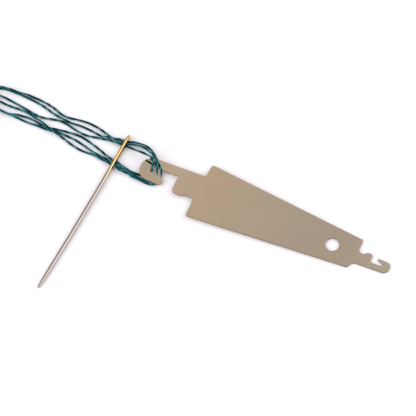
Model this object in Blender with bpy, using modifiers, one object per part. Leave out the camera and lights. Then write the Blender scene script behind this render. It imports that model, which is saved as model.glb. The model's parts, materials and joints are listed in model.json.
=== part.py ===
"""A flat double-ended needle threader holding three doubled threads that pass through a tapestry needle.

The threader is a stamped plate with a large and a small hook and a hanging hole. Three threads are folded
in its large hook, and their six legs run through the needle's long eye to a small tied coil.
Everything is laid out in millimetres in the threader's own frame, whose origin is the hanging hole's axis
at the tabletop and whose +X points along the plate to the small hook, and is built in metres with +Z up.
"""

import math

import bmesh
import bpy
from mathutils import Matrix, Vector

MM = 0.001

# The hanging hole's axis in the part's frame, whose origin is midway along and across the plate and needle.
HOLE_X = 19.533
HOLE_Y = 13.889

# The plate rests on its small hook and leans on the threads under its large hook.
PLATE_THICKNESS = 0.3
PLATE_EDGE = 0.04
PLATE_TILT = math.radians(0.8)
PLATE_REST_X = 13.2
HOLE_RADIUS = 1.5
HOLE_SIDES = 40
ARC_STEP = math.radians(11)

# Corners of the plate's outline, each with the radius that rounds it, counter-clockwise.
BODY_BOTTOM = [
    (-30.9, -6.53, 0.35),
    (4.95, -3.55, 0.6),
]
SMALL_HOOK = [
    (5.5, -2.02, 0.8),
    (13.2, -1.7, 1.4),
    (13.2, 0.93, 1.2),
    (10.13, 0.95, 0.22),
    (10.13, 0.53, 0.12),
    (10.8, 0.3, 0.4),
    (11.95, -0.02, 0.1),
    (10.8, -0.47, 0.4),
]
SMALL_LOBE = [
    (8.83, -0.5, 0.2),
    (8.8, 1.33, 0.6),
    (7.6, 1.33, 0.6),
    (6.85, 0.62, 0.6),
    (5.55, 0.62, 0.9),
]
BODY_TOP = [
    (5.55, 3.62, 0.35),
    (-30.53, 6.77, 0.5),
    (-30.58, 3.66, 0.6),
]
LARGE_HOOK = [
    (-44.25, 3.07, 2.4),
    (-44.25, -2.25, 2.5),
    (-38.3, -2.25, 0.9),
    (-38.5, -0.95, 0.35),
    (-39.3, -0.24, 0.6),
    (-42.1, -0.02, 0.45),
    (-42.1, 1.47, 0.45),
    (-39.6, 1.2, 1.5),
]
LARGE_LOBE = [
    (-35.97, 1.35, 0.3),
    (-35.93, -2.75, 0.9),
    (-33.9, -2.67, 0.9),
    (-32.7, -2.13, 0.6),
    (-30.9, -2.1, 1.1),
]

# The needle lies on its eye and on the shoulder of its blunt point.
NEEDLE_HEAD = Vector((-49.45, 6.12, 0.765))
NEEDLE_POINT = Vector((-52.1, -34.29, 0.395))
NEEDLE_LENGTH = 40.5
NEEDLE_BOW = 0.18
NEEDLE_SIDES = 20
# Distance from the head, half width and half height of the needle's sections.
NEEDLE_SECTIONS = [
    (0.0, 0.1, 0.16),
    (0.08, 0.22, 0.32),
    (0.3, 0.34, 0.5),
    (0.9, 0.4, 0.64),
    (2.0, 0.42, 0.71),
    (4.0, 0.42, 0.72),
    (6.5, 0.42, 0.7),
    (8.5, 0.43, 0.6),
    (10.0, 0.43, 0.5),
    (11.5, 0.43, 0.43),
    (17.0, 0.43, 0.43),
    (23.0, 0.43, 0.43),
    (29.0, 0.43, 0.43),
    (34.5, 0.43, 0.43),
    (37.1, 0.39, 0.39),
    (39.0, 0.33, 0.33),
    (40.0, 0.25, 0.25),
    (40.35, 0.17, 0.17),
    (40.5, 0.07, 0.07),
]
EYE_START = 1.15
EYE_END = 8.9
EYE_HALF_HEIGHT = 0.4
EYE_CENTRE = 5.0

# The threads: each is folded in the large hook, over its arm and under its jaw.
THREAD_RADIUS = 0.25
ROUTE_SPACING = 2.0
COIL_X = -91.0
COIL_Y = -6.4
COIL_INNER = 5.6
COIL_OUTER = 10.6
COIL_BOTTOM = 0.03
COIL_TOP = 1.62
COIL_SEGMENTS = 64
COIL_EDGE = 0.25

# Routes of the threads' middles, from the coil along the upper leg, round the hook and back to the coil.
OUTER_UPPER_LEG = [
    (-86.0, 3.95, 1.37),
    (-83.0, 4.6, 1.3),
    (-80.0, 5.4, 1.0),
    (-77.5, 5.88, 0.84),
    (-75.0, 5.94, 0.84),
    (-73.6, 6.22, 0.65),
    (-72.2, 6.34, 0.38),
    (-69.5, 6.25, 0.29),
    (-66.8, 5.72, 0.29),
    (-64.8, 5.05, 0.29),
    (-63.4, 4.92, 0.29),
    (-61.0, 5.3, 0.29),
    (-58.6, 5.48, 0.29),
    (-56.5, 5.28, 0.29),
    (-54.4, 4.75, 0.36),
    (-52.4, 4.14, 0.6),
    (-51.5, 4.34, 0.67),
    (-50.6, 4.5, 0.72),
    (-49.2, 4.57, 0.73),
    (-48.0, 5.02, 0.73),
    (-46.9, 5.17, 0.76),
    (-45.8, 5.2, 0.85),
    (-44.8, 5.04, 0.97),
    (-43.8, 4.65, 1.1),
    (-42.85, 4.05, 1.2),
    (-41.92, 3.15, 1.33),
    (-41.4, 2.65, 1.38),
    (-40.95, 2.22, 1.38),
    (-40.24, 1.6, 1.36),
    (-39.94, 1.27, 1.36),
    (-39.77, 1.0, 1.33),
]
OUTER_TURN = [
    (-39.68, 0.74, 1.12),
    (-39.5, 0.5, 0.74),
    (-39.4, 0.13, 0.5),
    (-39.38, -0.35, 0.37),
    (-39.4, -1.0, 0.33),
    (-39.62, -1.7, 0.32),
]
OUTER_LOWER_LEG = [
    (-40.1, -2.3, 0.32),
    (-40.9, -2.6, 0.34),
    (-41.8, -2.64, 0.42),
    (-43.0, -2.58, 0.58),
    (-44.4, -2.52, 0.56),
    (-45.2, -2.46, 0.4),
    (-45.9, -2.2, 0.46),
    (-46.6, -2.17, 0.59),
    (-47.3, -2.27, 0.68),
    (-48.2, -2.14, 0.7),
    (-49.3, -1.8, 0.7),
    (-50.3, -1.72, 0.7),
    (-51.0, -1.58, 0.65),
    (-52.1, -1.38, 0.5),
    (-53.2, -1.28, 0.36),
    (-54.4, -1.03, 0.3),
    (-56.5, -1.12, 0.29),
    (-57.8, -1.1, 0.29),
    (-59.0, -0.88, 0.29),
    (-61.0, -0.37, 0.29),
    (-62.0, -0.06, 0.3),
    (-63.0, 0.15, 0.42),
    (-64.0, 0.33, 0.68),
    (-65.2, 0.53, 0.86),
    (-66.4, 0.93, 0.86),
    (-67.4, 1.34, 0.8),
    (-68.3, 1.64, 0.62),
    (-69.4, 2.0, 0.34),
    (-71.0, 2.4, 0.29),
    (-72.4, 2.52, 0.29),
    (-75.8, 2.42, 0.29),
    (-78.0, 2.5, 0.4),
    (-80.5, 2.8, 0.8),
    (-83.0, 3.2, 1.25),
    (-86.0, 3.42, 1.37),
]
MIDDLE_UPPER_LEG = [
    (-86.0, 3.95, 0.29),
    (-83.0, 4.4, 0.29),
    (-80.0, 5.3, 0.29),
    (-77.5, 5.84, 0.29),
    (-75.0, 5.8, 0.29),
    (-72.2, 5.68, 0.29),
    (-69.5, 5.31, 0.29),
    (-66.2, 4.47, 0.29),
    (-64.8, 4.25, 0.29),
    (-62.1, 4.03, 0.29),
    (-60.0, 4.17, 0.29),
    (-57.2, 4.02, 0.29),
    (-54.8, 3.73, 0.42),
    (-53.4, 3.82, 0.85),
    (-52.4, 3.84, 1.04),
    (-51.6, 3.88, 0.96),
    (-50.9, 3.93, 0.82),
    (-50.1, 3.98, 0.74),
    (-49.2, 4.02, 0.73),
    (-48.0, 4.44, 0.73),
    (-46.9, 4.63, 0.76),
    (-45.8, 4.66, 0.86),
    (-44.8, 4.48, 0.98),
    (-43.62, 3.56, 2.1),
    (-42.6, 3.09, 2.5),
    (-41.77, 2.45, 2.16),
    (-41.27, 1.92, 1.76),
    (-40.87, 1.42, 1.62),
    (-40.8, 1.15, 1.48),
    (-40.75, 0.95, 1.32),
]
MIDDLE_TURN = [
    (-40.66, 0.74, 1.08),
    (-40.49, 0.5, 0.74),
    (-40.42, 0.13, 0.5),
    (-40.46, -0.35, 0.37),
    (-40.46, -0.9, 0.33),
    (-40.62, -1.5, 0.32),
]
MIDDLE_LOWER_LEG = [
    (-41.05, -1.95, 0.32),
    (-41.8, -2.13, 0.32),
    (-42.6, -2.13, 0.32),
    (-43.6, -2.13, 0.33),
    (-44.4, -2.01, 0.38),
    (-45.3, -1.97, 0.82),
    (-46.0, -1.86, 1.0),
    (-46.6, -1.8, 0.98),
    (-47.3, -1.74, 0.76),
    (-48.2, -1.59, 0.7),
    (-49.3, -1.26, 0.7),
    (-50.3, -1.18, 0.7),
    (-51.0, -1.04, 0.65),
    (-52.1, -0.84, 0.5),
    (-53.2, -0.74, 0.36),
    (-54.4, -0.5, 0.3),
    (-55.8, -0.22, 0.29),
    (-57.2, 0.15, 0.29),
    (-58.6, 0.45, 0.29),
    (-60.0, 0.7, 0.29),
    (-61.2, 0.78, 0.29),
    (-63.0, 0.82, 0.29),
    (-64.0, 0.8, 0.29),
    (-65.0, 0.62, 0.29),
    (-66.0, 0.5, 0.29),
    (-68.1, 0.48, 0.29),
    (-71.0, 0.38, 0.29),
    (-73.3, 0.48, 0.29),
    (-75.0, 0.58, 0.29),
    (-77.5, 0.75, 0.29),
    (-80.0, 1.45, 0.29),
    (-82.5, 2.5, 0.29),
    (-84.5, 3.15, 0.29),
    (-86.0, 3.38, 0.29),
]
INNER_UPPER_LEG = [
    (-86.0, 3.95, 0.83),
    (-83.0, 3.9, 0.78),
    (-80.0, 3.8, 0.5),
    (-77.5, 3.8, 0.3),
    (-76.4, 3.7, 0.29),
    (-72.2, 3.1, 0.29),
    (-70.9, 2.9, 0.29),
    (-69.5, 2.69, 0.29),
    (-68.6, 2.69, 0.29),
    (-66.4, 3.13, 0.29),
    (-64.5, 3.5, 0.29),
    (-63.3, 3.46, 0.29),
    (-61.0, 2.98, 0.29),
    (-58.9, 2.63, 0.29),
    (-57.5, 2.67, 0.29),
    (-55.4, 3.06, 0.3),
    (-53.4, 3.4, 0.42),
    (-52.4, 3.5, 0.55),
    (-51.5, 3.42, 0.66),
    (-50.6, 3.43, 0.72),
    (-49.2, 3.48, 0.73),
    (-47.3, 3.42, 0.85),
    (-45.8, 3.1, 1.5),
    (-44.54, 2.8, 2.2),
    (-43.78, 2.6, 2.52),
    (-42.95, 2.48, 2.6),
    (-42.36, 2.28, 2.55),
    (-42.0, 1.95, 2.27),
    (-41.84, 1.52, 1.8),
    (-41.85, 1.0, 1.36),
]
INNER_TURN = [
    (-41.84, 0.74, 1.07),
    (-41.78, 0.5, 0.74),
    (-41.74, 0.15, 0.51),
    (-41.72, -0.3, 0.38),
    (-41.87, -0.75, 0.34),
    (-42.3, -1.12, 0.33),
]
INNER_LOWER_LEG = [
    (-43.0, -1.3, 0.33),
    (-43.8, -1.4, 0.33),
    (-44.5, -1.48, 0.34),
    (-45.2, -1.5, 0.38),
    (-45.9, -1.5, 0.48),
    (-46.6, -1.38, 0.59),
    (-47.3, -1.22, 0.68),
    (-48.2, -1.04, 0.7),
    (-49.3, -0.72, 0.7),
    (-50.3, -0.64, 0.7),
    (-51.0, -0.48, 0.65),
    (-52.1, -0.12, 0.5),
    (-53.2, 0.36, 0.36),
    (-54.4, 0.77, 0.3),
    (-55.8, 1.2, 0.29),
    (-57.2, 1.57, 0.29),
    (-58.6, 1.83, 0.29),
    (-60.0, 1.85, 0.29),
    (-62.0, 1.7, 0.29),
    (-64.0, 1.4, 0.29),
    (-65.0, 1.2, 0.29),
    (-66.0, 1.06, 0.29),
    (-67.0, 1.04, 0.29),
    (-68.1, 1.1, 0.29),
    (-69.5, 1.33, 0.29),
    (-71.0, 1.43, 0.29),
    (-72.2, 1.27, 0.36),
    (-73.3, 0.98, 0.66),
    (-75.0, 0.42, 0.86),
    (-77.5, 0.5, 0.86),
    (-80.0, 1.3, 0.86),
    (-82.5, 2.4, 0.85),
    (-84.5, 3.12, 0.83),
    (-86.0, 3.38, 0.83),
]

# A thin tie holds the coil together on the side away from the threader.
TIE_RADIUS = 0.16
TIE_GAP = 0.08
TIE_ANGLE = math.radians(180)
NOTCH_HALF_WIDTH = 0.35


def remove_default_objects():
    """Empty the scene."""
    for old_object in list(bpy.data.objects):
        bpy.data.objects.remove(old_object, do_unlink=True)


def new_collection(name, hidden=False):
    """Make a collection in the scene."""
    collection = bpy.data.collections.new(name)
    collection.hide_render = hidden
    bpy.context.scene.collection.children.link(collection)
    return collection


def new_material(name, colour, roughness, metallic):
    """Make a Principled BSDF material of one colour."""
    material = bpy.data.materials.new(name)
    material.use_nodes = True
    shader = material.node_tree.nodes["Principled BSDF"]
    shader.inputs["Base Color"].default_value = (*colour, 1.0)
    shader.inputs["Roughness"].default_value = roughness
    shader.inputs["Metallic"].default_value = metallic
    return material


def to_part(point):
    """Turn a point in the threader's frame, in millimetres, into the part's frame in metres."""
    x, y, z = point
    return Vector((x + HOLE_X, y + HOLE_Y, z)) * MM


def add_object(name, data, collection, material=None):
    """Put an object made from a mesh or curve in a collection."""
    new_object = bpy.data.objects.new(name, data)
    collection.objects.link(new_object)
    if material is not None:
        data.materials.append(material)
    return new_object


def curve_to_mesh(curve_object, name, collection, material, merge_distance):
    """Replace a curve by a mesh whose caps are welded."""
    bpy.context.view_layer.update()
    evaluated = curve_object.evaluated_get(bpy.context.evaluated_depsgraph_get())
    mesh = bpy.data.meshes.new_from_object(evaluated)
    mesh.name = name
    work = bmesh.new()
    work.from_mesh(mesh)
    bmesh.ops.remove_doubles(work, verts=work.verts, dist=merge_distance)
    bmesh.ops.recalc_face_normals(work, faces=work.faces)
    work.to_mesh(mesh)
    work.free()
    mesh.materials.clear()
    place = curve_object.matrix_world.copy()
    bpy.data.objects.remove(curve_object, do_unlink=True)
    mesh_object = add_object(name, mesh, collection, material)
    mesh_object.matrix_world = place
    return mesh_object


def shade_smooth(mesh, angle_degrees):
    """Shade a mesh smooth, with sharp edges where it bends more than the angle."""
    mesh.shade_smooth()
    mesh.set_sharp_from_angle(angle=math.radians(angle_degrees))


def arc_points(centre, first, last):
    """Points along the arc from first to last round a centre."""
    start = first - centre
    sweep = -start.angle_signed(last - centre)
    steps = max(1, math.ceil(abs(sweep) / ARC_STEP))
    points = []
    for step in range(steps + 1):
        points.append(centre + Matrix.Rotation(sweep * step / steps, 2) @ start)
    return points


def rounded_outline(corners):
    """Points of a closed outline whose corners are rounded by their radii."""
    points = []
    for index, (x, y, radius) in enumerate(corners):
        corner = Vector((x, y))
        after = corners[(index + 1) % len(corners)]
        towards_last = (Vector(corners[index - 1][:2]) - corner).normalized()
        towards_next = (Vector(after[:2]) - corner).normalized()
        half_angle = towards_last.angle(towards_next) / 2
        middle_line = (towards_last + towards_next).normalized()
        centre = corner + middle_line * radius / math.sin(half_angle)
        tangent = radius / math.tan(half_angle)
        points.extend(arc_points(centre, corner + towards_last * tangent, corner + towards_next * tangent))
    return points


def add_flat_spline(curve, points):
    """Add a closed spline of straight stretches through 2D points."""
    spline = curve.splines.new("POLY")
    spline.points.add(len(points) - 1)
    for spline_point, (x, y) in zip(spline.points, points):
        spline_point.co = (x * MM, y * MM, 0.0, 1.0)
    spline.use_cyclic_u = True


def build_plate(collection):
    """The threader: one stamped plate with two hooks, two lobes and a hanging hole."""
    curve = bpy.data.curves.new("threader_outline", "CURVE")
    curve.dimensions = "2D"
    curve.fill_mode = "BOTH"
    curve.extrude = (PLATE_THICKNESS / 2 - PLATE_EDGE) * MM
    curve.bevel_depth = PLATE_EDGE * MM
    curve.bevel_resolution = 0
    curve.offset = -PLATE_EDGE * MM
    corners = BODY_BOTTOM + SMALL_HOOK + SMALL_LOBE + BODY_TOP + LARGE_HOOK + LARGE_LOBE
    add_flat_spline(curve, rounded_outline(corners))
    hole = []
    for side in range(HOLE_SIDES):
        angle = 2 * math.pi * side / HOLE_SIDES
        hole.append((HOLE_RADIUS * math.cos(angle), HOLE_RADIUS * math.sin(angle)))
    add_flat_spline(curve, hole)
    outline = add_object("threader_outline", curve, collection)
    steel = new_material("threader_plate", (0.5, 0.38, 0.28), 0.3, 1.0)
    plate = curve_to_mesh(outline, "threader_plate", collection, steel, 0.002 * MM)
    middle_height = PLATE_REST_X * math.sin(PLATE_TILT) + PLATE_THICKNESS / 2 * math.cos(PLATE_TILT)
    plate.location = to_part((0, 0, middle_height))
    plate.rotation_euler = (0, PLATE_TILT, 0)
    shade_smooth(plate.data, 30)
    return plate


def needle_frame():
    """Turn from the needle's frame, whose +X runs from head to point and whose +Z is up, to the part's."""
    along = (NEEDLE_POINT - NEEDLE_HEAD).normalized()
    across = Vector((0, 0, 1)).cross(along).normalized()
    upward = along.cross(across)
    return Matrix((along, across, upward)).transposed()


def needle_body():
    """Loft the slightly bowed needle's sections, with +X from head to point and the origin in the eye's middle."""
    mesh = bpy.data.meshes.new("needle")
    work = bmesh.new()
    rings = []
    for distance, half_width, half_height in NEEDLE_SECTIONS:
        along = distance / NEEDLE_LENGTH
        bow = 4 * NEEDLE_BOW * along * (1 - along)
        ring = []
        for side in range(NEEDLE_SIDES):
            angle = 2 * math.pi * side / NEEDLE_SIDES
            place = (distance - EYE_CENTRE, half_width * math.cos(angle) + bow, half_height * math.sin(angle))
            ring.append(work.verts.new(Vector(place) * MM))
        rings.append(ring)
    for ring, next_ring in zip(rings, rings[1:]):
        for side in range(NEEDLE_SIDES):
            other = (side + 1) % NEEDLE_SIDES
            work.faces.new((ring[side], ring[other], next_ring[other], next_ring[side]))
    work.faces.new(rings[0])
    work.faces.new(rings[-1])
    bmesh.ops.recalc_face_normals(work, faces=work.faces)
    work.to_mesh(mesh)
    work.free()
    return mesh


def eye_cutter(cutters):
    """A slot with round ends that runs through the needle from side to side."""
    curve = bpy.data.curves.new("eye_cutter", "CURVE")
    curve.dimensions = "2D"
    curve.fill_mode = "BOTH"
    curve.extrude = 2 * MM
    first = EYE_START - EYE_CENTRE
    last = EYE_END - EYE_CENTRE
    reach = EYE_HALF_HEIGHT
    corners = [(first, -reach, reach), (last, -reach, reach), (last, reach, reach), (first, reach, reach)]
    add_flat_spline(curve, rounded_outline(corners))
    outline = add_object("eye_outline", curve, cutters)
    outline.rotation_euler = (math.radians(90), 0, 0)
    cutter = curve_to_mesh(outline, "eye_cutter", cutters, None, 0.002 * MM)
    cutter.hide_render = True
    cutter.display_type = "WIRE"
    return cutter


def build_needle(collection, cutters):
    """The tapestry needle, with a long eye whose opening faces along the threads."""
    gold = new_material("needle", (0.8, 0.55, 0.23), 0.25, 1.0)
    needle = add_object("needle", needle_body(), collection, gold)
    cutter = eye_cutter(cutters)
    frame = needle_frame().to_4x4()
    frame.translation = to_part(NEEDLE_HEAD) + frame.to_3x3() @ Vector((EYE_CENTRE * MM, 0, 0))
    needle.matrix_world = frame
    cutter.matrix_world = frame @ cutter.matrix_world
    eye = needle.modifiers.new("eye", "BOOLEAN")
    eye.operation = "DIFFERENCE"
    eye.solver = "EXACT"
    eye.object = cutter
    shade_smooth(needle.data, 35)
    return needle


def smooth_route(route, spacing):
    """Points at most about the spacing apart, on a smooth curve through the route's points."""
    knots = [Vector(point) for point in route]
    chords = [(after - before).length for before, after in zip(knots, knots[1:])]
    runs = [(after - before) / chord for before, after, chord in zip(knots, knots[1:], chords)]
    slopes = [runs[0]]
    for back, ahead, chord_back, chord_ahead in zip(runs, runs[1:], chords, chords[1:]):
        slopes.append((back * chord_ahead + ahead * chord_back) / (chord_back + chord_ahead))
    slopes.append(runs[-1])
    points = [knots[0]]
    for index, chord in enumerate(chords):
        steps = max(1, round(chord / spacing))
        for step in range(1, steps + 1):
            part = step / steps
            rise = part * part * (3 - 2 * part)
            leave = part * (1 - part) ** 2 * chord
            arrive = part * part * (part - 1) * chord
            point = knots[index].lerp(knots[index + 1], rise)
            points.append(point + slopes[index] * leave + slopes[index + 1] * arrive)
    return points


def build_thread(name, route, collection, material):
    """One folded thread, up to where its legs reach the coil."""
    curve = bpy.data.curves.new(name, "CURVE")
    curve.dimensions = "3D"
    curve.bevel_depth = THREAD_RADIUS * MM
    curve.bevel_resolution = 2
    curve.use_fill_caps = True
    points = smooth_route(route, ROUTE_SPACING)
    spline = curve.splines.new("POLY")
    spline.points.add(len(points) - 1)
    for spline_point, point in zip(spline.points, points):
        spline_point.co = (*to_part(point), 1.0)
    tube = add_object(name + "_route", curve, collection)
    thread = curve_to_mesh(tube, name, collection, material, 0.001 * MM)
    shade_smooth(thread.data, 50)
    return thread


def coil_profile():
    """The coil's section, from its outer side at the top down and back along its inner side."""
    edge = COIL_EDGE
    return [
        (COIL_INNER + edge, COIL_TOP),
        (COIL_OUTER - edge, COIL_TOP),
        (COIL_OUTER, COIL_TOP - edge),
        (COIL_OUTER, COIL_BOTTOM + edge),
        (COIL_OUTER - edge, COIL_BOTTOM),
        (COIL_INNER + edge, COIL_BOTTOM),
        (COIL_INNER, COIL_BOTTOM + edge),
        (COIL_INNER, COIL_TOP - edge),
    ]


def build_coil(collection, cutters, material):
    """The rest of the threads, wound into a flat ring that is pinched up where its tie passes under it."""
    mesh = bpy.data.meshes.new("thread_coil")
    profile = coil_profile()
    verts = [(radius * MM, 0.0, height * MM) for radius, height in profile]
    edges = [(index, (index + 1) % len(profile)) for index in range(len(profile))]
    mesh.from_pydata(verts, edges, [])
    coil = add_object("thread_coil", mesh, collection, material)
    coil.location = to_part((COIL_X, COIL_Y, 0))
    screw = coil.modifiers.new("turn", "SCREW")
    screw.steps = COIL_SEGMENTS
    screw.render_steps = COIL_SEGMENTS
    screw.use_merge_vertices = True
    screw.merge_threshold = 0.00001
    notch_mesh = bpy.data.meshes.new("tie_notch")
    work = bmesh.new()
    bmesh.ops.create_cube(work, size=1.0)
    span = COIL_OUTER - COIL_INNER + 2
    depth = COIL_BOTTOM + 2 * (TIE_RADIUS + TIE_GAP)
    bmesh.ops.scale(work, vec=Vector((span, 2 * NOTCH_HALF_WIDTH, 2 * depth)) * MM, verts=work.verts)
    work.to_mesh(notch_mesh)
    work.free()
    notch = add_object("tie_notch", notch_mesh, cutters)
    notch.location = tie_centre(0.0)
    notch.rotation_euler = (0, 0, TIE_ANGLE)
    notch.hide_render = True
    notch.display_type = "WIRE"
    pinch = coil.modifiers.new("tie_notch", "BOOLEAN")
    pinch.operation = "DIFFERENCE"
    pinch.solver = "EXACT"
    pinch.object = notch
    return coil


def tie_centre(height):
    """The middle of the coil's section at the tie, at a height."""
    middle = (COIL_INNER + COIL_OUTER) / 2
    return to_part((COIL_X + middle * math.cos(TIE_ANGLE), COIL_Y + middle * math.sin(TIE_ANGLE), height))


def build_tie(collection, material):
    """A thin thread that goes once round the coil's section."""
    reach = (COIL_OUTER - COIL_INNER) / 2 + TIE_GAP + TIE_RADIUS
    low = TIE_RADIUS + TIE_GAP / 2
    high = COIL_TOP + TIE_GAP + TIE_RADIUS
    corners = [(-reach, low, 0.5), (reach, low, 0.5), (reach, high, 0.5), (-reach, high, 0.5)]
    curve = bpy.data.curves.new("coil_tie", "CURVE")
    curve.dimensions = "3D"
    curve.bevel_depth = TIE_RADIUS * MM
    curve.bevel_resolution = 2
    add_flat_spline(curve, rounded_outline(corners))
    loop = add_object("coil_tie_loop", curve, collection)
    loop.rotation_euler = (math.radians(90), 0, TIE_ANGLE)
    loop.location = tie_centre(0.0)
    return curve_to_mesh(loop, "coil_tie", collection, material, 0.001 * MM)


def main():
    remove_default_objects()
    collection = new_collection("needle_threader_set")
    cutters = new_collection("cutters", hidden=True)
    build_plate(collection)
    build_needle(collection, cutters)
    cotton = new_material("thread", (0.02, 0.17, 0.18), 0.75, 0.0)
    build_thread("thread_1", INNER_UPPER_LEG + INNER_TURN + INNER_LOWER_LEG, collection, cotton)
    build_thread("thread_2", MIDDLE_UPPER_LEG + MIDDLE_TURN + MIDDLE_LOWER_LEG, collection, cotton)
    build_thread("thread_3", OUTER_UPPER_LEG + OUTER_TURN + OUTER_LOWER_LEG, collection, cotton)
    build_coil(collection, cutters, cotton)
    build_tie(collection, cotton)


main()
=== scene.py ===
"""A stamped needle threader, three teal threads folded in its large hook, and a gold-eyed needle.

Shapes are laid out in millimetres in the threader's own frame. Its origin is where the hanging
hole's axis meets the tabletop, and its +X points along the plate to the small hook. They are placed
in the part's frame in metres.
"""

import json
import math

import bmesh
import bpy
from mathutils import Matrix, Vector


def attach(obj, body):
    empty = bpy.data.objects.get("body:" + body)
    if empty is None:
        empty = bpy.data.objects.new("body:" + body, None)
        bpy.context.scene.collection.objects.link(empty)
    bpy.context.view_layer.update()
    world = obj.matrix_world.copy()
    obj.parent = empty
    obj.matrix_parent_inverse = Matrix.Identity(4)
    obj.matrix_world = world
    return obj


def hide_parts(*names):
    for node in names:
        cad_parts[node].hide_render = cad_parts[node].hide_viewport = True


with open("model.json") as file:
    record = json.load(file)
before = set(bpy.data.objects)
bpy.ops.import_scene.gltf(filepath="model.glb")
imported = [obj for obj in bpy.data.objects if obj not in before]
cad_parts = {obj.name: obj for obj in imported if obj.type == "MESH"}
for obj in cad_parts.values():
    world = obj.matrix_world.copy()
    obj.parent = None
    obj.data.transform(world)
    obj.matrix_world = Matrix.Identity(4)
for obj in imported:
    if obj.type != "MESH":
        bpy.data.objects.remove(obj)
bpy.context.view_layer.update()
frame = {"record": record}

MM = 0.001
MOUNTS = frame["record"]["mounts"]
HOLE = next(mount["pos_m"] for mount in MOUNTS if mount["name"] == "hanging_hole")

# The camera looks at the middle of the view, from far enough away for a long lens.
CAMERA_AZIMUTH = math.radians(24.03)
CAMERA_ELEVATION = math.radians(62.9)
CAMERA_TARGET = (-27.28, -2.78, 0.488)
CAMERA_DISTANCE = 1.0
VIEW_WIDTH = 0.08757
CLIP_START = 0.01
CLIP_END = 10.0

# The plate, which leans: its small hook is on the table and its large hook on the threads.
PLATE_THICKNESS = 0.3
PLATE_ROUNDING = 0.045
PLATE_ROUNDING_STEPS = 3
PLATE_TILT = math.radians(0.8)
PLATE_REST_X = 13.2
HOLE_RADIUS = 1.5
HOLE_SIDES = 96
ARC_STEP = math.radians(4)
WELD_DISTANCE = 0.001
# How upright a face's normal is on the polished sides, and on their flat part.
POLISHED_UPRIGHT = 0.97
FLAT_UPRIGHT = 0.9999

# The needle.
NEEDLE_HEAD = (-49.45, 6.12, 0.765)
NEEDLE_POINT = (-52.1, -34.29, 0.395)
NEEDLE_BOW = 0.18
NEEDLE_SIDES = 48
NEEDLE_STEPS = 160
NEEDLE_END_CROWDING = 0.9
NEEDLE_SMOOTH_ANGLE = math.radians(40)
# Distance from the head, half width and half height of the needle's sections.
NEEDLE_SECTIONS = [
    (0.0, 0.1, 0.16),
    (0.08, 0.22, 0.32),
    (0.3, 0.34, 0.5),
    (0.9, 0.4, 0.64),
    (2.0, 0.42, 0.71),
    (4.0, 0.42, 0.72),
    (6.5, 0.42, 0.7),
    (8.5, 0.43, 0.6),
    (10.0, 0.43, 0.5),
    (11.5, 0.43, 0.43),
    (34.5, 0.43, 0.43),
    (37.1, 0.39, 0.39),
    (39.0, 0.33, 0.33),
    (40.0, 0.25, 0.25),
    (40.35, 0.17, 0.17),
    (40.5, 0.07, 0.07),
]
EYE_START = 1.15
EYE_END = 8.9
EYE_HALF_HEIGHT = 0.4
EYE_CUT_REACH = 2.0
EYE_ROUNDING = 0.035
EYE_ROUNDING_STEPS = 3
EYE_ROUNDING_ANGLE = math.radians(45)

# The threads: two plies laid round each other, once in each lay, tighter and looser in waves.
THREAD_RADIUS = 0.25
THREAD_LAY = 5.6
THREAD_SIDES = 16
THREAD_STEP = 0.16
LEG_LENGTH = 225.0
PLIES = 2
PLY_GROOVE = 0.3
# Size in turns, span and phase of the waves in the lay.
LAY_WAVES = [(0.25, 2.2, 0.0), (0.06, 0.93, 1.0)]

# The coil, and how its windings rise to pass through the tie.
COIL_X = -91.0
COIL_Y = -6.4
COIL_PITCH = 1.1
COIL_STEP = math.radians(3)
COIL_APPROACH_STEP = 1.0
TIE_RISE = 0.45
TIE_RISE_REACH = 1.3

# The tie: a loop through the coil, a knot on top of it and two tails.
TIE_ANGLE = math.radians(180)
TIE_RADIUS = 0.16
TIE_LAY = 1.6
TIE_SIDES = 12
TIE_DISTANCE = 8.15
TIE_HALF_WIDTH = 2.45
TIE_BOTTOM = 0.18
TIE_TOP = 2.28
TIE_BOTTOM_ROUNDING = 0.45
TIE_TOP_ROUNDING = 0.6
KNOT_SIZE = 0.28
KNOT_DEPTH = 0.12
KNOT_HEIGHT = TIE_TOP + 0.2
KNOT_STEPS = 48
TAIL_HEIGHT = TIE_TOP + 0.1
TAIL_SPACING = 0.2
# Points of each tail: how far round the coil, outwards and up they are from its start.
TIE_TAILS = [
    [(-0.7, 0.2, 0.03), (-1.6, -0.3, -0.2), (-2.6, -0.9, -0.52)],
    [(0.7, 0.2, 0.03), (1.6, 0.3, -0.2), (2.6, 0.9, -0.52)],
]

# The light: the room's tint and radiance, and each soft box's watts, size and place in metres.
ROOM_TINT = (1.0, 0.985, 1.0)
ROOM_RADIANCE = 0.62
HIGH_SOFT_BOX = (10.6, 1.4, (0.98, 0.67, 1.05))
LOW_SOFT_BOX = (26.5, 2.0, (-1.05, -0.95, 1.15))
FLOOR_TINT = (0.905, 0.885, 0.905)
FLOOR_REACH = 1.5

# Colours of the cotton, from painted shade in the grooves between its plies to painted highlight on
# its crests and lightest fibres.
COTTON_COLOURS_WITH_PAINTED_LIGHT = [
    (0.38, (0.0, 0.004, 0.007)),
    (0.65, (0.001, 0.035, 0.044)),
    (0.83, (0.01, 0.145, 0.165)),
    (1.0, (0.1, 0.44, 0.49)),
]
SHEEN_TINT = (0.3, 0.8, 0.85)

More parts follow.
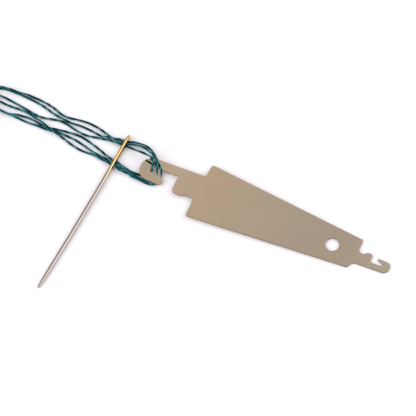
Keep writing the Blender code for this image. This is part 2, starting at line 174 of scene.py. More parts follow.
# Where the plate's tints start and end along it, in metres, and the tints of its rolled steel,
# which change along it as a painted reflection: warm and brighter at the left, cooler and darker to
# the right.
PLATE_START = -0.045
PLATE_END = 0.0135
PLATE_TINTS_WITH_PAINTED_REFLECTION = [
    (0.04, (0.725, 0.56, 0.393)),
    (0.15, (0.84, 0.61, 0.44)),
    (0.29, (0.78, 0.565, 0.388)),
    (0.48, (0.7, 0.555, 0.395)),
    (0.65, (0.65, 0.515, 0.395)),
    (0.82, (0.645, 0.503, 0.38)),
    (0.97, (0.74, 0.605, 0.5)),
]
MOTTLE_TINT = (0.66, 0.55, 0.39)
TARNISH_TINT = (0.62, 0.57, 0.37)
GRAIN_TINT = (0.5, 0.48, 0.46)

# Where the needle's plating ends and how far its end wanders, in metres, and colours up to there.
PLATING_END = 0.02
PLATING_RAGGEDNESS = 0.0012
NEEDLE_COLOURS = [
    (0.0, (0.62, 0.4, 0.13)),
    (0.1, (0.64, 0.42, 0.14)),
    (0.17, (0.78, 0.53, 0.21)),
    (0.4, (0.76, 0.54, 0.23)),
    (0.48, (0.66, 0.54, 0.31)),
    (0.57, (0.56, 0.48, 0.31)),
    (0.67, (0.47, 0.415, 0.375)),
]
NEEDLE_GRAIN_TINT = (0.55, 0.5, 0.42)

# Corners of the plate's outline, each with the radius that rounds it, counter-clockwise.
BODY_BOTTOM = [
    (-30.9, -6.53, 0.35),
    (4.95, -3.55, 0.6),
]
SMALL_HOOK = [
    (5.5, -2.02, 0.8),
    (13.2, -1.7, 1.4),
    (13.2, 0.93, 1.2),
    (10.13, 0.95, 0.22),
    (10.13, 0.53, 0.12),
    (10.8, 0.3, 0.4),
    (11.95, -0.02, 0.1),
    (10.8, -0.47, 0.4),
]
SMALL_LOBE = [
    (8.83, -0.5, 0.2),
    (8.8, 1.33, 0.6),
    (7.6, 1.33, 0.6),
    (6.85, 0.62, 0.6),
    (5.55, 0.62, 0.9),
]
BODY_TOP = [
    (5.55, 3.62, 0.35),
    (-30.53, 6.77, 0.5),
    (-30.58, 3.66, 0.6),
]
LARGE_HOOK = [
    (-44.25, 3.07, 2.4),
    (-44.25, -2.25, 2.5),
    (-38.3, -2.25, 0.9),
    (-38.5, -0.95, 0.35),
    (-39.3, -0.24, 0.6),
    (-42.1, -0.02, 0.45),
    (-42.1, 1.47, 0.45),
    (-39.6, 1.2, 1.5),
]
LARGE_LOBE = [
    (-35.97, 1.35, 0.3),
    (-35.93, -2.75, 0.9),
    (-33.9, -2.67, 0.9),
    (-32.7, -2.13, 0.6),
    (-30.9, -2.1, 1.1),
]

# Routes of the threads' middles: from the coil along the upper leg, round the hook and back.
OUTER_UPPER_LEG = [
    (-86.0, 3.95, 1.37),
    (-83.0, 4.6, 1.3),
    (-80.0, 5.4, 1.0),
    (-77.5, 5.88, 0.84),
    (-75.0, 5.94, 0.84),
    (-73.6, 6.22, 0.65),
    (-72.2, 6.34, 0.38),
    (-69.5, 6.25, 0.29),
    (-66.8, 5.72, 0.29),
    (-64.8, 5.05, 0.29),
    (-63.4, 4.92, 0.29),
    (-61.0, 5.3, 0.29),
    (-58.6, 5.48, 0.29),
    (-56.5, 5.28, 0.29),
    (-54.4, 4.75, 0.36),
    (-52.4, 4.14, 0.6),
    (-51.5, 4.34, 0.67),
    (-50.6, 4.5, 0.72),
    (-49.2, 4.57, 0.73),
    (-48.0, 5.02, 0.73),
    (-46.9, 5.17, 0.76),
    (-45.8, 5.2, 0.85),
    (-44.8, 5.04, 0.97),
    (-43.8, 4.65, 1.1),
    (-42.85, 4.05, 1.2),
    (-41.92, 3.15, 1.33),
    (-41.4, 2.65, 1.38),
    (-40.95, 2.22, 1.38),
    (-40.24, 1.6, 1.36),
    (-39.94, 1.27, 1.36),
    (-39.77, 1.0, 1.33),
]
OUTER_TURN = [
    (-39.68, 0.74, 1.12),
    (-39.5, 0.5, 0.74),
    (-39.4, 0.13, 0.5),
    (-39.38, -0.35, 0.37),
    (-39.4, -1.0, 0.33),
    (-39.62, -1.7, 0.32),
]
OUTER_LOWER_LEG = [
    (-40.1, -2.3, 0.32),
    (-40.9, -2.6, 0.34),
    (-41.8, -2.64, 0.42),
    (-43.0, -2.58, 0.58),
    (-44.4, -2.52, 0.56),
    (-45.2, -2.46, 0.4),
    (-45.9, -2.2, 0.46),
    (-46.6, -2.17, 0.59),
    (-47.3, -2.27, 0.68),
    (-48.2, -2.14, 0.7),
    (-49.3, -1.8, 0.7),
    (-50.3, -1.72, 0.7),
    (-51.0, -1.58, 0.65),
    (-52.1, -1.38, 0.5),
    (-53.2, -1.28, 0.36),
    (-54.4, -1.03, 0.3),
    (-56.5, -1.12, 0.29),
    (-57.8, -1.1, 0.29),
    (-59.0, -0.88, 0.29),
    (-61.0, -0.37, 0.29),
    (-62.0, -0.06, 0.3),
    (-63.0, 0.15, 0.42),
    (-64.0, 0.33, 0.68),
    (-65.2, 0.53, 0.86),
    (-66.4, 0.93, 0.86),
    (-67.4, 1.34, 0.8),
    (-68.3, 1.64, 0.62),
    (-69.4, 2.0, 0.34),
    (-71.0, 2.4, 0.29),
    (-72.4, 2.52, 0.29),
    (-75.8, 2.42, 0.29),
    (-78.0, 2.5, 0.4),
    (-80.5, 2.8, 0.8),
    (-83.0, 3.2, 1.25),
    (-86.0, 3.42, 1.37),
]
MIDDLE_UPPER_LEG = [
    (-86.0, 3.95, 0.29),
    (-83.0, 4.4, 0.29),
    (-80.0, 5.3, 0.29),
    (-77.5, 5.84, 0.29),
    (-75.0, 5.8, 0.29),
    (-72.2, 5.68, 0.29),
    (-69.5, 5.31, 0.29),
    (-66.2, 4.47, 0.29),
    (-64.8, 4.25, 0.29),
    (-62.1, 4.03, 0.29),
    (-60.0, 4.17, 0.29),
    (-57.2, 4.02, 0.29),
    (-54.8, 3.73, 0.42),
    (-53.4, 3.82, 0.85),
    (-52.4, 3.84, 1.04),
    (-51.6, 3.88, 0.96),
    (-50.9, 3.93, 0.82),
    (-50.1, 3.98, 0.74),
    (-49.2, 4.02, 0.73),
    (-48.0, 4.44, 0.73),
    (-46.9, 4.63, 0.76),
    (-45.8, 4.66, 0.86),
    (-44.8, 4.48, 0.98),
    (-43.62, 3.56, 2.1),
    (-42.6, 3.09, 2.5),
    (-41.77, 2.45, 2.16),
    (-41.27, 1.92, 1.76),
    (-40.87, 1.42, 1.62),
    (-40.8, 1.15, 1.48),
    (-40.75, 0.95, 1.32),
]
MIDDLE_TURN = [
    (-40.66, 0.74, 1.08),
    (-40.49, 0.5, 0.74),
    (-40.42, 0.13, 0.5),
    (-40.46, -0.35, 0.37),
    (-40.46, -0.9, 0.33),
    (-40.62, -1.5, 0.32),
]
MIDDLE_LOWER_LEG = [
    (-41.05, -1.95, 0.32),
    (-41.8, -2.13, 0.32),
    (-42.6, -2.13, 0.32),
    (-43.6, -2.13, 0.33),
    (-44.4, -2.01, 0.38),
    (-45.3, -1.97, 0.82),
    (-46.0, -1.86, 1.0),
    (-46.6, -1.8, 0.98),
    (-47.3, -1.74, 0.76),
    (-48.2, -1.59, 0.7),
    (-49.3, -1.26, 0.7),
    (-50.3, -1.18, 0.7),
    (-51.0, -1.04, 0.65),
    (-52.1, -0.84, 0.5),
    (-53.2, -0.74, 0.36),
    (-54.4, -0.5, 0.3),
    (-55.8, -0.22, 0.29),
    (-57.2, 0.15, 0.29),
    (-58.6, 0.45, 0.29),
    (-60.0, 0.7, 0.29),
    (-61.2, 0.78, 0.29),
    (-63.0, 0.82, 0.29),
    (-64.0, 0.8, 0.29),
    (-65.0, 0.62, 0.29),
    (-66.0, 0.5, 0.29),
    (-68.1, 0.48, 0.29),
    (-71.0, 0.38, 0.29),
    (-73.3, 0.48, 0.29),
    (-75.0, 0.58, 0.29),
    (-77.5, 0.75, 0.29),
    (-80.0, 1.45, 0.29),
    (-82.5, 2.5, 0.29),
    (-84.5, 3.15, 0.29),
    (-86.0, 3.38, 0.29),
]
INNER_UPPER_LEG = [
    (-86.0, 3.95, 0.83),
    (-83.0, 3.9, 0.78),
    (-80.0, 3.8, 0.5),
    (-77.5, 3.8, 0.3),
    (-76.4, 3.7, 0.29),
    (-72.2, 3.1, 0.29),
    (-70.9, 2.9, 0.29),
    (-69.5, 2.69, 0.29),
    (-68.6, 2.69, 0.29),
    (-66.4, 3.13, 0.29),
    (-64.5, 3.5, 0.29),
    (-63.3, 3.46, 0.29),
    (-61.0, 2.98, 0.29),
    (-58.9, 2.63, 0.29),
    (-57.5, 2.67, 0.29),
    (-55.4, 3.06, 0.3),
    (-53.4, 3.4, 0.42),
    (-52.4, 3.5, 0.55),
    (-51.5, 3.42, 0.66),
    (-50.6, 3.43, 0.72),
    (-49.2, 3.48, 0.73),
    (-47.3, 3.42, 0.85),
    (-45.8, 3.1, 1.5),
    (-44.54, 2.8, 2.2),
    (-43.78, 2.6, 2.52),
    (-42.95, 2.48, 2.6),
    (-42.36, 2.28, 2.55),
    (-42.0, 1.95, 2.27),
    (-41.84, 1.52, 1.8),
    (-41.85, 1.0, 1.36),
]
INNER_TURN = [
    (-41.84, 0.74, 1.07),
    (-41.78, 0.5, 0.74),
    (-41.74, 0.15, 0.51),
    (-41.72, -0.3, 0.38),
    (-41.87, -0.75, 0.34),
    (-42.3, -1.12, 0.33),
]
INNER_LOWER_LEG = [
    (-43.0, -1.3, 0.33),
    (-43.8, -1.4, 0.33),
    (-44.5, -1.48, 0.34),
    (-45.2, -1.5, 0.38),
    (-45.9, -1.5, 0.48),
    (-46.6, -1.38, 0.59),
    (-47.3, -1.22, 0.68),
    (-48.2, -1.04, 0.7),
    (-49.3, -0.72, 0.7),
    (-50.3, -0.64, 0.7),
    (-51.0, -0.48, 0.65),
    (-52.1, -0.12, 0.5),
    (-53.2, 0.36, 0.36),
    (-54.4, 0.77, 0.3),
    (-55.8, 1.2, 0.29),
    (-57.2, 1.57, 0.29),
    (-58.6, 1.83, 0.29),
    (-60.0, 1.85, 0.29),
    (-62.0, 1.7, 0.29),
    (-64.0, 1.4, 0.29),
    (-65.0, 1.2, 0.29),
    (-66.0, 1.06, 0.29),
    (-67.0, 1.04, 0.29),
    (-68.1, 1.1, 0.29),
    (-69.5, 1.33, 0.29),
    (-71.0, 1.43, 0.29),
    (-72.2, 1.27, 0.36),
    (-73.3, 0.98, 0.66),
    (-75.0, 0.42, 0.86),
    (-77.5, 0.5, 0.86),
    (-80.0, 1.3, 0.86),
    (-82.5, 2.4, 0.85),
    (-84.5, 3.12, 0.83),
    (-86.0, 3.38, 0.83),
]


def place(point):
    """A point of the threader's frame, in millimetres, in the part's frame in metres."""
    x, y, z = point
    return Vector((HOLE[0] + x * MM, HOLE[1] + y * MM, z * MM))


def add_object(name, data):
    """Put a new object in the scene."""
    new_object = bpy.data.objects.new(name, data)
    bpy.context.scene.collection.objects.link(new_object)
    return new_object


def ring_angles(count):
    """Angles of a ring's points, evenly spaced all round."""
    return [2 * math.pi * step / count for step in range(count)]


def smooth_route(route, spacing):
    """Points at most about the spacing apart, on a smooth curve through the route's points."""
    knots = [Vector(point) for point in route]
    chords = [(after - before).length for before, after in zip(knots, knots[1:])]
    runs = [(after - before) / chord for before, after, chord in zip(knots, knots[1:], chords)]
    slopes = [runs[0]]
    for back, ahead, chord_back, chord_ahead in zip(runs, runs[1:], chords, chords[1:]):
        slopes.append((back * chord_ahead + ahead * chord_back) / (chord_back + chord_ahead))
    slopes.append(runs[-1])
    points = [knots[0]]
    for index, chord in enumerate(chords):
        steps = max(1, round(chord / spacing))
        for step in range(1, steps + 1):
            part = step / steps
            rise = part * part * (3 - 2 * part)
            leave = part * (1 - part) ** 2 * chord
            arrive = part * part * (part - 1) * chord
            point = knots[index].lerp(knots[index + 1], rise)
            points.append(point + slopes[index] * leave + slopes[index + 1] * arrive)
    return points


def evenly_spaced(points, spacing):
    """The same line again, with points the spacing apart."""
    spaced = [points[0]]
    needed = spacing
    for before, after in zip(points, points[1:]):
        chord = (after - before).length
        while needed <= chord:
            spaced.append(before.lerp(after, needed / chord))
            needed += spacing
        needed -= chord
    spaced.append(points[-1])
    return spaced


def line_length(points):
    """The length of a line through points."""
    return sum((after - before).length for before, after in zip(points, points[1:]))


def coil_route(start, length):
    """From a leg's start outside the coil, straight to the coil's top and then inwards round it."""
    x, y, height = start
    points = [Vector(start)]
    run = COIL_APPROACH_STEP
    while x - run > COIL_X:
        points.append(Vector((x - run, y, height)))
        run += COIL_APPROACH_STEP
    outer_radius = y - COIL_Y
    total = x - COIL_X
    turned = 0.0
    while total < length:
        radius = outer_radius - COIL_PITCH * turned / (2 * math.pi)
        angle = math.pi / 2 + turned
        from_tie = math.remainder(angle - TIE_ANGLE, 2 * math.pi) * radius
        rise = TIE_RISE * math.exp(-((from_tie / TIE_RISE_REACH) ** 2))
        x_now = COIL_X + radius * math.cos(angle)
        y_now = COIL_Y + radius * math.sin(angle)
        point = Vector((x_now, y_now, height + rise))
        total += (point - points[-1]).length if turned else 0.0
        points.append(point)
        turned += COIL_STEP
    return points


def strand_line(upper_leg, turn, lower_leg):
    """A whole strand's line, from one end in the coil to the other, and where on it the fold is."""
    upper_length = line_length(smooth_route(upper_leg + turn, THREAD_STEP))
    lower_length = line_length(smooth_route([turn[-1]] + lower_leg, THREAD_STEP))
    upper_coil = coil_route(upper_leg[0], LEG_LENGTH - upper_length)
    lower_coil = coil_route(lower_leg[-1], LEG_LENGTH - lower_length)
    route = smooth_route(upper_leg + turn + lower_leg, THREAD_STEP)
    line = evenly_spaced(upper_coil[::-1] + route[1:-1] + lower_coil, THREAD_STEP)
    fold = round((line_length(upper_coil) + upper_length) / THREAD_STEP)
    return line, fold


def carried_frames(line):
    """A normal and a binormal at each point of a line, carried along without twisting."""
    tangents = [(after - before).normalized() for before, after in zip(line, line[1:])]
    tangents.append(tangents[-1])
    normal = tangents[0].orthogonal().normalized()
    frames = []
    for tangent in tangents:
        normal = (normal - tangent * normal.dot(tangent)).normalized()
        frames.append((normal, tangent.cross(normal)))
    return frames


def laid_turns(length, lay):
    """How many turns the plies have made after a length."""
    turns = length / lay
    for size, span, phase in LAY_WAVES:
        turns += size * math.sin(length / span + phase)
    return turns


def cord_mesh(name, line, frames, radius, lay, sides, first_length=0.0):
    """A tube with one lobe for each ply, turning as the plies are laid, with its ends closed."""
    verts = []
    for index, (centre, (normal, binormal)) in enumerate(zip(line, frames)):
        turn = 2 * math.pi * laid_turns(first_length + index * THREAD_STEP, lay)
        for around in ring_angles(sides):
            lobe = abs(math.cos(PLIES * around / 2))
            reach = radius * (1 - PLY_GROOVE * (1 - lobe))
            angle = around + turn
            offset = normal * math.cos(angle) + binormal * math.sin(angle)
            verts.append(place(centre + offset * reach))
    faces = []
    corners = []
    for ring in range(len(line) - 1):
        along = (first_length + ring * THREAD_STEP) / lay
        ahead = along + THREAD_STEP / lay
        start = ring * sides
        for side in range(sides):
            other = (side + 1) % sides
            faces.append((start + side, start + other, start + sides + other, start + sides + side))
            low = side / sides
            high = (side + 1) / sides
            corners.extend([(along, low), (along, high), (ahead, high), (ahead, low)])
    faces.append(tuple(reversed(range(sides))))
    faces.append(tuple(range(len(verts) - sides, len(verts))))
    mesh = bpy.data.meshes.new(name)
    mesh.from_pydata(verts, [], faces)
    for loop, corner in zip(mesh.uv_layers.new(name="strand").data, corners):
        loop.uv = corner
    mesh.shade_smooth()
    return mesh


def arc_points(centre, first, last):
    """Points along the arc from first to last round a centre."""
    start = first - centre
    sweep = -start.angle_signed(last - centre)
    steps = max(1, math.ceil(abs(sweep) / ARC_STEP))
    return [centre + Matrix.Rotation(sweep * step / steps, 2) @ start for step in range(steps + 1)]


def rounded_outline(corners):
    """Points of a closed outline whose corners are rounded by their radii."""
    points = []
    for index, (x, y, radius) in enumerate(corners):
        corner = Vector((x, y))
        after = corners[(index + 1) % len(corners)]
        to_last = (Vector(corners[index - 1][:2]) - corner).normalized()
        to_next = (Vector(after[:2]) - corner).normalized()
        half_angle = to_last.angle(to_next) / 2
        middle_line = (to_last + to_next).normalized()
        centre = corner + middle_line * radius / math.sin(half_angle)
        tangent = radius / math.tan(half_angle)
        points.extend(arc_points(centre, corner + to_last * tangent, corner + to_next * tangent))
    return points


def flat_curve(name, half_depth, outlines):
    """A filled curve with closed outlines, as deep as twice half_depth, as an object."""
    curve = bpy.data.curves.new(name, "CURVE")
    curve.dimensions = "2D"
    curve.fill_mode = "BOTH"
    curve.extrude = half_depth * MM
    for points in outlines:
        spline = curve.splines.new("POLY")
        spline.points.add(len(points) - 1)
        for spline_point, (x, y) in zip(spline.points, points):
            spline_point.co = (x * MM, y * MM, 0.0, 1.0)
        spline.use_cyclic_u = True
    return add_object(name, curve)


def mesh_of(source, name):
    """A mesh of an object as its modifiers leave it, welded."""
    bpy.context.view_layer.update()
    evaluated = source.evaluated_get(bpy.context.evaluated_depsgraph_get())
    mesh = bpy.data.meshes.new_from_object(evaluated)
    mesh.name = name
    work = bmesh.new()
    work.from_mesh(mesh)
    bmesh.ops.remove_doubles(work, verts=work.verts, dist=WELD_DISTANCE * MM)
    bmesh.ops.recalc_face_normals(work, faces=work.faces)
    work.to_mesh(mesh)
    work.free()
    mesh.materials.clear()
    return mesh


class Shader:
    """A new material, and short ways to add nodes to its tree."""

    def __init__(self, name):
        self.material = bpy.data.materials.new(name)
        self.material.use_nodes = True
        self.tree = self.material.node_tree
        self.surface = self.tree.nodes["Principled BSDF"]

    def feed(self, node, inputs):
        """Link a node's inputs to sockets, or set them to constants, by their identifiers."""
        for identifier, value in inputs.items():
            socket = next(item for item in node.inputs if item.identifier == identifier)
            if isinstance(value, bpy.types.NodeSocket):
                self.tree.links.new(value, socket)
            elif socket.type == "RGBA":
                socket.default_value = (*value, 1.0)
            else:
                socket.default_value = value

    def add(self, kind, inputs):
        """A new node with its inputs fed."""
        node = self.tree.nodes.new(kind)
        self.feed(node, inputs)
        return node

    def math(self, operation, first, second=0.0):
        """The value of a Math node."""
        node = self.add("ShaderNodeMath", {"Value": first, "Value_001": second})
        node.operation = operation
        return node.outputs["Value"]

    def noise(self, vector, scale, detail, roughness=0.5):
        """A Noise texture's value from 0 to 1."""
        return self.add("ShaderNodeTexNoise", {
            "Vector": vector, "Scale": scale, "Detail": detail, "Roughness": roughness,
        }).outputs["Fac"]

    def stretched(self, vector, scale):
        """Coordinates, scaled."""
        return self.add("ShaderNodeMapping", {"Vector": vector, "Scale": scale}).outputs["Vector"]

    def split(self, vector):
        """The outputs X, Y and Z of coordinates."""
        return self.add("ShaderNodeSeparateXYZ", {"Vector": vector}).outputs

    def share(self, value, low, high):
        """Where a value is between low and high, from 0 to 1."""
        return self.add("ShaderNodeMapRange", {
            "Value": value, "From Min": low, "From Max": high,
        }).outputs["Result"]

    def object_coordinates(self):
        """The object's own coordinates, in metres."""
        return self.add("ShaderNodeTexCoord", {}).outputs["Object"]

    def ramp(self, factor, stops):
        """The colour of a ramp with (position, colour) stops."""
        node = self.add("ShaderNodeValToRGB", {"Fac": factor})
        elements = node.color_ramp.elements
        while len(elements) < len(stops):
            elements.new(0.5)
        for element, (position, colour) in zip(elements, stops):
            element.position = position
            element.color = (*colour, 1.0)
        return node.outputs["Color"]

    def mix(self, blend_type, level, strength, first, second):
        """Two colours, blended as far as the level times the strength."""
        node = self.tree.nodes.new("ShaderNodeMix")
        node.data_type = "RGBA"
        node.blend_type = blend_type
        factor = self.math("MULTIPLY", level, strength)
        self.feed(node, {"Factor_Float": factor, "A_Color": first, "B_Color": second})
        return next(item for item in node.outputs if item.identifier == "Result_Color")

    def bump(self, height, strength, distance):
        """A Bump node's normal."""
        return self.add("ShaderNodeBump", {
            "Strength": strength, "Distance": distance, "Height": height,
        }).outputs["Normal"]


def cotton_material():
    """Twisted teal cotton with painted light: painted shade in the grooves between the plies,
    painted highlight on their crests, random stretches painted lighter and darker as sheen
    highlights and shade, and fibres that run along them.
    """
    shader = Shader("cotton_thread")
    coordinate_node = shader.add("ShaderNodeUVMap", {})
    coordinate_node.uv_map = "strand"
    coordinates = coordinate_node.outputs["UV"]
    # The ply crests are made lighter and the grooves darker: painted highlight and painted shade.
    around = shader.math("MULTIPLY", shader.split(coordinates)["Y"], PLIES * math.pi)
    lobe = shader.math("ABSOLUTE", shader.math("COSINE", around))
    fibre_space = shader.stretched(coordinates, (1.2, 16.0, 1.0))
    fibres = shader.noise(fibre_space, scale=3.0, detail=4.0, roughness=0.65)
    # Long random stretches made lighter and darker: painted sheen highlights and painted shade
    # along the thread.
    patch_space = shader.stretched(coordinates, (0.35, 1.0, 1.0))
    painted_light_patches = shader.noise(patch_space, scale=2.2, detail=2.0)
    painted_light_patches = shader.math("SUBTRACT", painted_light_patches, 0.25)
    level = shader.math(
        "ADD", shader.math("MULTIPLY", lobe, 0.55), shader.math("MULTIPLY", fibres, 0.35))
    level = shader.math("ADD", level, shader.math("MULTIPLY", painted_light_patches, 0.55))
    shader.feed(shader.surface, {
        "Base Color": shader.ramp(level, COTTON_COLOURS_WITH_PAINTED_LIGHT),
        "Roughness": 0.6,
        "Specular IOR Level": 0.07,
        "Sheen Weight": 0.04,
        "Sheen Roughness": 0.4,
        "Sheen Tint": SHEEN_TINT,
        "Normal": shader.bump(fibres, strength=0.5, distance=0.00005),
    })
    return shader.material


def plate_material(name, brightness, roughness):
    """Satin rolled steel whose tint changes along it as a painted reflection, warm at the left and
    cooler to the right, with tarnish and a fine grain.
    """
    def tinted(colour):
        return tuple(brightness * value for value in colour)

    shader = Shader(name)
    coordinates = shader.object_coordinates()
    along = shader.share(shader.split(coordinates)["X"], PLATE_START, PLATE_END)
    # The ramp along the plate is a painted reflection of the surroundings, not a change in the
    # steel.
    colour = shader.ramp(along, [(position, tinted(tint)) for position, tint in PLATE_TINTS_WITH_PAINTED_REFLECTION])
    mottle = shader.noise(coordinates, scale=260.0, detail=3.0)
    colour = shader.mix("MIX", mottle, 0.3, colour, tinted(MOTTLE_TINT))
    tarnish = shader.noise(coordinates, scale=110.0, detail=2.0)
    tarnish = shader.math("SUBTRACT", tarnish, 0.45)
    colour = shader.mix("MIX", tarnish, 1.5, colour, tinted(TARNISH_TINT))
    grain_space = shader.stretched(coordinates, (60.0, 2600.0, 2600.0))
    grain = shader.noise(grain_space, scale=1.0, detail=4.0, roughness=0.6)
    colour = shader.mix("MULTIPLY", grain, 0.09, colour, GRAIN_TINT)
    uneven = shader.math("MULTIPLY", grain, 0.05)
    shader.feed(shader.surface, {
        "Base Color": colour,
        "Metallic": 1.0,
        "Roughness": shader.math("ADD", uneven, roughness - 0.025),
        "Normal": shader.bump(grain, strength=0.05, distance=0.00001),
    })
    return shader.material


def needle_material():
    """Polished steel, gold plated from the head to just past the eye."""
    shader = Shader("plated_steel")
    coordinates = shader.object_coordinates()
    blotches = shader.noise(coordinates, scale=900.0, detail=3.0)
    ragged = shader.math("MULTIPLY", blotches, PLATING_RAGGEDNESS)
    distance = shader.math("ADD", shader.split(coordinates)["X"], ragged)
    colour = shader.ramp(shader.share(distance, 0.0, PLATING_END), NEEDLE_COLOURS)
    grain_space = shader.stretched(coordinates, (150.0, 5000.0, 5000.0))
    grain = shader.noise(grain_space, scale=1.0, detail=3.0)
    shader.feed(shader.surface, {
        "Base Color": shader.mix("MULTIPLY", grain, 0.25, colour, NEEDLE_GRAIN_TINT),
        "Metallic": 1.0,
        "Roughness": shader.math("ADD", shader.math("MULTIPLY", grain, 0.08), 0.07),
    })
    return shader.material


def make_camera():
    """The camera."""
    back = Vector((
        math.sin(CAMERA_AZIMUTH) * math.cos(CAMERA_ELEVATION),
        -math.cos(CAMERA_AZIMUTH) * math.cos(CAMERA_ELEVATION),
        math.sin(CAMERA_ELEVATION),
    ))
    data = bpy.data.cameras.new("camera")
    data.lens = data.sensor_width * CAMERA_DISTANCE / VIEW_WIDTH
    data.clip_start = CLIP_START
    data.clip_end = CLIP_END
    camera = add_object("camera", data)
    camera.location = place(CAMERA_TARGET) + back * CAMERA_DISTANCE
    camera.rotation_euler = (-back).to_track_quat("-Z", "Y").to_euler()
    bpy.context.scene.camera = camera


def make_threads(cotton):
    """Three strands, each as two legs that meet in the large hook and end in the coil."""
    strands = {
        "thread_1": (INNER_UPPER_LEG, INNER_TURN, INNER_LOWER_LEG),
        "thread_2": (MIDDLE_UPPER_LEG, MIDDLE_TURN, MIDDLE_LOWER_LEG),
        "thread_3": (OUTER_UPPER_LEG, OUTER_TURN, OUTER_LOWER_LEG),
    }
    legs = []
    for node, routes in strands.items():
        line, fold = strand_line(*routes)
        frames = carried_frames(line)
        for side, first, last in (("upper", 0, fold), ("lower", fold, len(line) - 1)):
            name = f"{node}_{side}_leg"
            part = slice(first, last + 1)
            mesh = cord_mesh(name, line[part], frames[part], THREAD_RADIUS, THREAD_LAY,
                             THREAD_SIDES, first * THREAD_STEP)
            mesh.materials.append(cotton)
            leg = add_object(name, mesh)
            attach(leg, "threads")
            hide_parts(node, "thread_coil")
            legs.append((leg, [place(point) for point in line[part]], place(line[fold])))
    return legs


def tie_lines():
    """Middles of the tie's loop, its knot and its two tails."""
    outwards = Vector((math.cos(TIE_ANGLE), math.sin(TIE_ANGLE), 0.0))
    around = Vector((-outwards.y, outwards.x, 0.0))

    def over_coil(distance, height):
        return Vector((COIL_X, COIL_Y, height)) + outwards * distance

    section = rounded_outline([
        (-TIE_HALF_WIDTH, TIE_BOTTOM, TIE_BOTTOM_ROUNDING),
        (TIE_HALF_WIDTH, TIE_BOTTOM, TIE_BOTTOM_ROUNDING),
        (TIE_HALF_WIDTH, TIE_TOP, TIE_TOP_ROUNDING),
        (-TIE_HALF_WIDTH, TIE_TOP, TIE_TOP_ROUNDING),
    ])
    loop = [over_coil(TIE_DISTANCE + x, height) for x, height in section + section[:1]]
    knot = []
    for step in range(KNOT_STEPS + 1):
        turn = 2 * math.pi * step / KNOT_STEPS
        knot.append(
            over_coil(TIE_DISTANCE, KNOT_HEIGHT)
            + outwards * KNOT_SIZE * (math.sin(turn) + 2 * math.sin(2 * turn)) / 2
            + around * KNOT_SIZE * (math.cos(turn) - 2 * math.cos(2 * turn)) / 2
            + Vector((0, 0, -KNOT_DEPTH * math.sin(3 * turn)))
        )
    lines = [loop, knot]
    start = over_coil(TIE_DISTANCE, TAIL_HEIGHT)
    for tail in TIE_TAILS:
        route = [start]
        for aside, outward, up in tail:
            route.append(start + around * aside + outwards * outward + Vector((0, 0, up)))
        lines.append(smooth_route(route, TAIL_SPACING))
    return lines


def make_tie(cotton):
    """A thin thread round the coil, with a small knot on top."""
    work = bmesh.new()
    for line in tie_lines():
        spaced = evenly_spaced(line, THREAD_STEP)
        part = cord_mesh(
            "tie_part", spaced, carried_frames(spaced), TIE_RADIUS, TIE_LAY, TIE_SIDES)
        work.from_mesh(part)
        bpy.data.meshes.remove(part)
    mesh = bpy.data.meshes.new("coil_tie_thread")
    work.to_mesh(mesh)
    work.free()
    mesh.shade_smooth()
    mesh.materials.append(cotton)
    tie = add_object("coil_tie_thread", mesh)
    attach(tie, "threads")
    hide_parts("coil_tie")
    return tie


def make_plate():
    """The stamped plate: polished sides and a rounded edge all round, whose colour is darkened as
    painted shade.
    """
    corners = BODY_BOTTOM + SMALL_HOOK + SMALL_LOBE + BODY_TOP + LARGE_HOOK + LARGE_LOBE
    hole = [
        (HOLE_RADIUS * math.cos(angle), HOLE_RADIUS * math.sin(angle))
        for angle in ring_angles(HOLE_SIDES)
    ]
    outline = flat_curve(
        "outline", PLATE_THICKNESS / 2 - PLATE_ROUNDING, [rounded_outline(corners), hole])
    outline.data.bevel_depth = PLATE_ROUNDING * MM
    outline.data.bevel_resolution = PLATE_ROUNDING_STEPS
    outline.data.offset = -PLATE_ROUNDING * MM
    mesh = mesh_of(outline, "threader_sheet")
    bpy.data.objects.remove(outline, do_unlink=True)
    mesh.materials.append(plate_material("stamped_steel", brightness=1.0, roughness=0.08))
    # The rounded edge's colours are dimmed to 0.3 as painted shade along the rim.
    mesh.materials.append(plate_material("edge_with_painted_shade", brightness=0.3, roughness=0.45))
    work = bmesh.new()
    work.from_mesh(mesh)
    for face in work.faces:
        face.smooth = True
        face.material_index = 0 if abs(face.normal.z) > POLISHED_UPRIGHT else 1
    for edge in work.edges:
        edge.smooth = len({abs(face.normal.z) > FLAT_UPRIGHT for face in edge.link_faces}) == 1
    work.to_mesh(mesh)
    work.free()
    plate = add_object("threader_sheet", mesh)
    height = PLATE_REST_X * math.sin(PLATE_TILT) + PLATE_THICKNESS / 2 * math.cos(PLATE_TILT)
    plate.location = place((0, 0, height))
    plate.rotation_euler = (0, PLATE_TILT, 0)
    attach(plate, "threader")
    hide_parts("threader_plate")


def section_at(distance):
    """Half width and half height of the needle at a distance from its head."""
    for before, after in zip(NEEDLE_SECTIONS, NEEDLE_SECTIONS[1:]):
        if distance <= after[0]:
            part = (distance - before[0]) / (after[0] - before[0])
            return [low + (high - low) * part for low, high in zip(before[1:], after[1:])]
    return NEEDLE_SECTIONS[-1][1:]


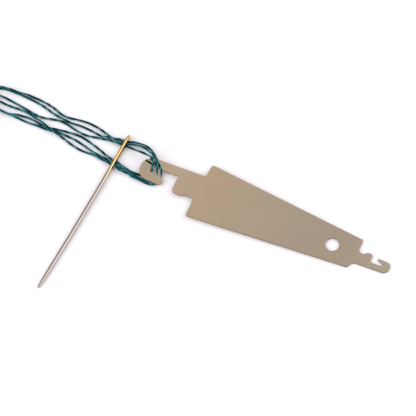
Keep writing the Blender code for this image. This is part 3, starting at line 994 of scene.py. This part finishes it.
def make_needle_blank():
    """The needle before its eye is cut: rings of points, closer together at both ends."""
    length = NEEDLE_SECTIONS[-1][0]
    work = bmesh.new()
    rings = []
    for step in range(NEEDLE_STEPS + 1):
        part = step / NEEDLE_STEPS
        crowding = math.sin(2 * math.pi * part) / (2 * math.pi) * NEEDLE_END_CROWDING
        distance = length * (part - crowding)
        half_width, half_height = section_at(distance)
        along = distance / length
        bow = 4 * NEEDLE_BOW * along * (1 - along)
        rings.append([
            work.verts.new(Vector((
                distance,
                half_width * math.cos(angle) + bow,
                half_height * math.sin(angle),
            )) * MM)
            for angle in ring_angles(NEEDLE_SIDES)
        ])
    for ring, next_ring in zip(rings, rings[1:]):
        for side in range(NEEDLE_SIDES):
            other = (side + 1) % NEEDLE_SIDES
            work.faces.new((ring[side], ring[other], next_ring[other], next_ring[side]))
    work.faces.new(rings[0])
    work.faces.new(rings[-1])
    bmesh.ops.recalc_face_normals(work, faces=work.faces)
    mesh = bpy.data.meshes.new("needle_blank")
    work.to_mesh(mesh)
    work.free()
    return add_object("needle_blank", mesh)


def make_eye_cutter():
    """A solid in the shape of the eye, across the needle from side to side."""
    reach = EYE_HALF_HEIGHT
    outline = flat_curve("slot", EYE_CUT_REACH, [rounded_outline([
        (EYE_START, -reach, reach),
        (EYE_END, -reach, reach),
        (EYE_END, reach, reach),
        (EYE_START, reach, reach),
    ])])
    outline.rotation_euler = (math.radians(90), 0, 0)
    cutter = add_object("slot_cutter", mesh_of(outline, "slot_cutter"))
    cutter.matrix_world = outline.matrix_world.copy()
    bpy.data.objects.remove(outline, do_unlink=True)
    return cutter


def make_needle():
    """The tapestry needle, whose long eye runs through it from side to side."""
    blank = make_needle_blank()
    cutter = make_eye_cutter()
    eye = blank.modifiers.new("eye", "BOOLEAN")
    eye.operation = "DIFFERENCE"
    eye.solver = "EXACT"
    eye.object = cutter
    rounding = blank.modifiers.new("rounding", "BEVEL")
    rounding.width = EYE_ROUNDING * MM
    rounding.segments = EYE_ROUNDING_STEPS
    rounding.limit_method = "ANGLE"
    rounding.angle_limit = EYE_ROUNDING_ANGLE
    mesh = mesh_of(blank, "needle_polished")
    bpy.data.objects.remove(blank, do_unlink=True)
    bpy.data.objects.remove(cutter, do_unlink=True)
    mesh.materials.append(needle_material())
    mesh.shade_smooth()
    mesh.set_sharp_from_angle(angle=NEEDLE_SMOOTH_ANGLE)
    needle = add_object("needle_polished", mesh)
    head = place(NEEDLE_HEAD)
    along = (place(NEEDLE_POINT) - head).normalized()
    across = Vector((0, 0, 1)).cross(along).normalized()
    world = Matrix((along, across, along.cross(across))).transposed().to_4x4()
    world.translation = head
    needle.matrix_world = world
    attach(needle, "needle")
    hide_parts("needle")


def make_floor():
    """A plain pale floor."""
    shader = Shader("pale_floor")
    shader.feed(shader.surface, {
        "Base Color": FLOOR_TINT,
        "Roughness": 0.9,
        "Specular IOR Level": 0.1,
    })
    mesh = bpy.data.meshes.new("floor")
    signs = ((-1, -1), (1, -1), (1, 1), (-1, 1))
    mesh.from_pydata([(x * FLOOR_REACH, y * FLOOR_REACH, 0) for x, y in signs], [], [(0, 1, 2, 3)])
    mesh.materials.append(shader.material)
    add_object("floor", mesh)


def add_soft_box(name, watts, size, location):
    """A soft square light aimed at the object."""
    data = bpy.data.lights.new(name, "AREA")
    data.size = size
    data.energy = watts
    soft_box = add_object(name, data)
    soft_box.location = location
    soft_box.rotation_euler = (-Vector(location)).to_track_quat("-Z", "Y").to_euler()


def make_light():
    """Soft studio light: soft boxes at the front left and the back right, in a dimmer room."""
    world = bpy.data.worlds.new("studio")
    world.use_nodes = True
    background = world.node_tree.nodes["Background"]
    background.inputs["Color"].default_value = (*ROOM_TINT, 1.0)
    background.inputs["Strength"].default_value = ROOM_RADIANCE
    bpy.context.scene.world = world
    add_soft_box("high_soft_box", *HIGH_SOFT_BOX)
    add_soft_box("low_soft_box", *LOW_SOFT_BOX)
    bpy.context.scene.view_settings.view_transform = "Standard"


make_camera()
cotton_thread = cotton_material()
thread_legs = make_threads(cotton_thread)
tie_thread = make_tie(cotton_thread)
make_plate()
make_needle()
make_floor()
make_light()
